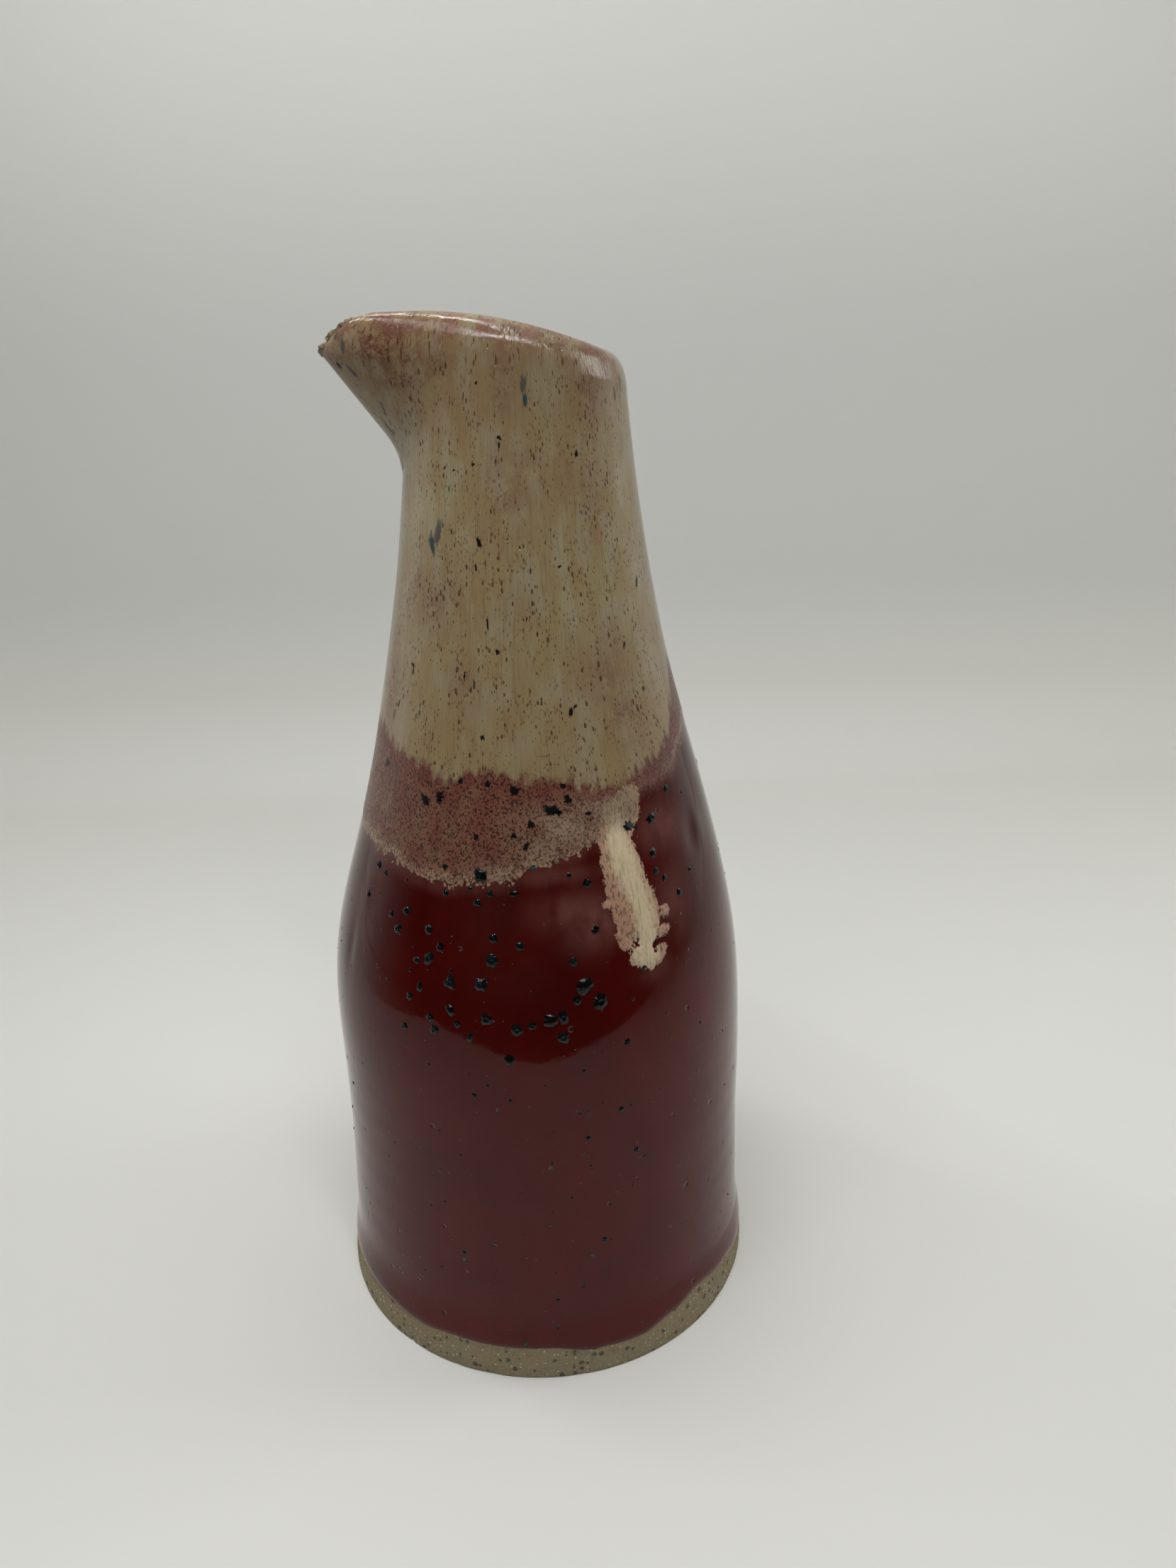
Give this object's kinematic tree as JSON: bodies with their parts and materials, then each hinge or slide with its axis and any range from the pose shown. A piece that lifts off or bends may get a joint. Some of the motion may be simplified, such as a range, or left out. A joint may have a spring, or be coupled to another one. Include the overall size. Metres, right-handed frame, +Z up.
{
  "type": "stoneware jug",
  "caption": "Tall hand-built stoneware jug with a flat foot, straight body, tapering neck and a slanted rolled rim drawn out to a pouring beak, in cream over red glaze.",
  "frame": {"origin": "centre of the underside of the base slab", "axes": "+Z up along the jug's axis, -X towards the beak, -Y towards the pictured side"},
  "size_m": [0.1, 0.1, 0.2224],
  "materials": {
    "raw_clay": "matte, gritty, unglazed",
    "red_glaze": "glossy oxblood with iron craters",
    "overlap_glaze": "glossy mottled pink",
    "cream_glaze": "satin-gloss speckled cream",
    "liner_glaze": "glossy cream liner"
  },
  "bodies": {
    "root": {"base_slab": "raw_clay", "floor_coil": "raw_clay", "body_wall": "raw_clay", "shoulder_coil": "raw_clay", "neck_wall": "raw_clay", "beaked_mouth": "raw_clay", "red_glaze": "red_glaze", "overlap_glaze": "overlap_glaze", "cream_glaze": "cream_glaze", "cream_drip": "cream_glaze", "liner_glaze": "liner_glaze"}
  },
  "joints": []
}
